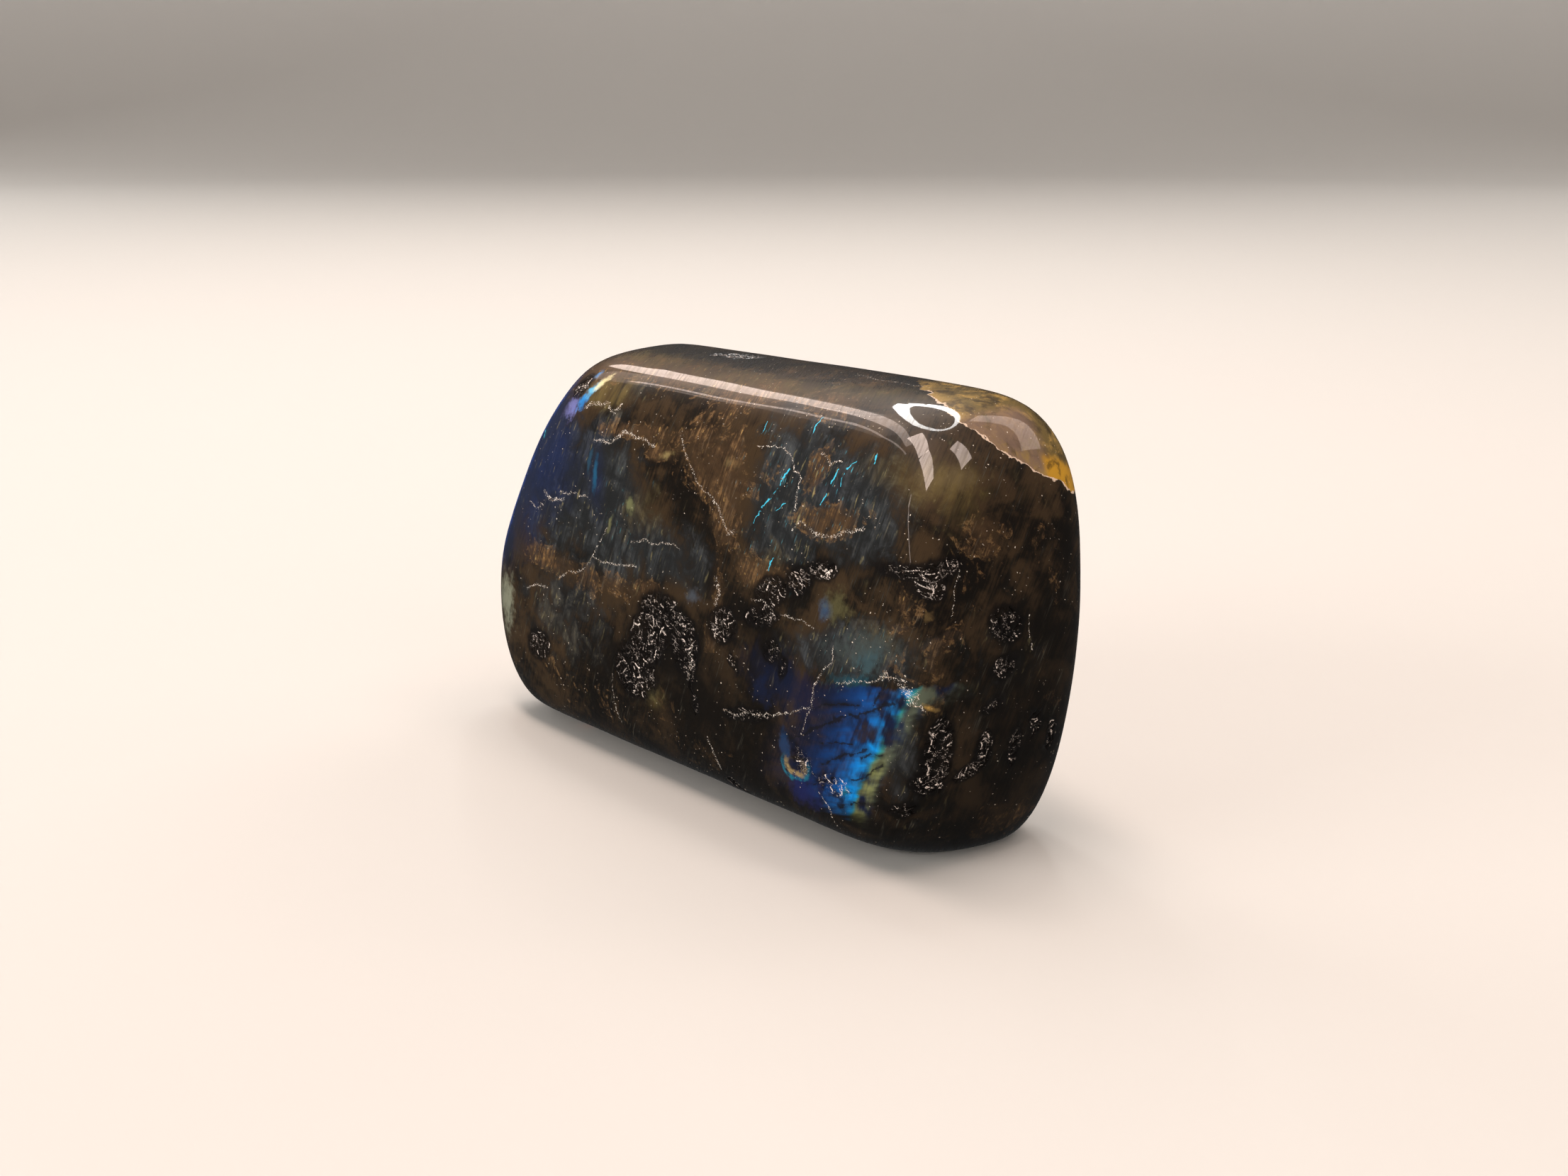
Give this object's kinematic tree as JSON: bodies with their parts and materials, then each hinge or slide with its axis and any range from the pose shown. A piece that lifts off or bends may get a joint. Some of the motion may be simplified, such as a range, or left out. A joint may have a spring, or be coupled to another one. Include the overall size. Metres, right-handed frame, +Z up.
{
  "type": "polished labradorite stone",
  "caption": "Polished labradorite freeform: a dark rounded slab of stone with a sawn flat base that stands on a shelf or table as an ornament.",
  "frame": {"origin": "on the flat base, under the middle of the stone's outline", "axes": "+Z up from the base, +X along the stone's length towards its narrow right end, -Y out of its broad front face"},
  "size_m": [0.1348, 0.0434, 0.0769],
  "materials": {
    "labradorite": "polished, with a blue to gold play of colour inside the stone and small rough pits"
  },
  "bodies": {
    "root": {"polished_stone": "labradorite"}
  },
  "joints": []
}
